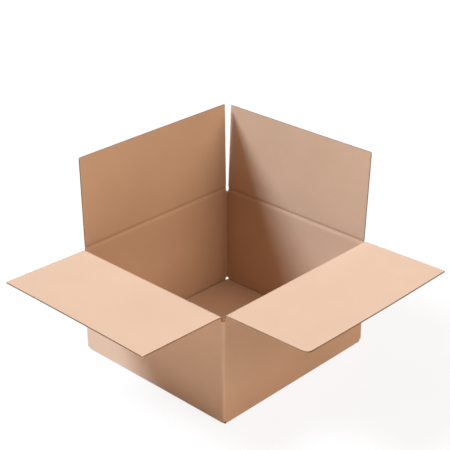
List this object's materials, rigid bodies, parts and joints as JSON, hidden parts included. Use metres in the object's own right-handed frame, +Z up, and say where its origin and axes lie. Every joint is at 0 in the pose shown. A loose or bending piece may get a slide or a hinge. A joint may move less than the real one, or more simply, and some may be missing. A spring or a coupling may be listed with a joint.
{
  "type": "open corrugated box",
  "caption": "Open corrugated shipping box folded from a slotted blank, with hinged top flaps, a glued bottom and an empty inside that holds goods.",
  "frame": {"origin": "middle of the underside, on the seam where the bottom outer flaps meet; the base mount lies 2 mm beside it, on the front one of those flaps", "axes": "+Z up, X along the length, Y along the width; the front wall faces -Y and the left wall faces -X"},
  "size_m": [0.6609, 0.6259, 0.4582],
  "materials": {
    "kraft_board": "matte"
  },
  "bodies": {
    "carton": {"carton": "kraft_board"},
    "front_flap": {"front_flap": "kraft_board"},
    "back_flap": {"back_flap": "kraft_board"},
    "left_flap": {"left_flap": "kraft_board"},
    "right_flap": {"right_flap": "kraft_board"}
  },
  "joints": [
    {"name": "front_fold", "type": "hinge", "parent": "carton", "child": "front_flap", "pos_m": [0, -0.2072, 0.2515], "axis": [-1, 0, 0], "range_deg": [-66.4, 178.6]},
    {"name": "back_fold", "type": "hinge", "parent": "carton", "child": "back_flap", "pos_m": [0, 0.2072, 0.2515], "axis": [1, 0, 0], "range_deg": [-153.9, 91.1]},
    {"name": "left_fold", "type": "hinge", "parent": "carton", "child": "left_flap", "pos_m": [-0.2222, 0, 0.2482], "axis": [0, 1, 0], "range_deg": [-66.3, 178.7]},
    {"name": "right_fold", "type": "hinge", "parent": "carton", "child": "right_flap", "pos_m": [0.2222, 0, 0.2482], "axis": [0, -1, 0], "range_deg": [-152.5, 92.5]}
  ]
}
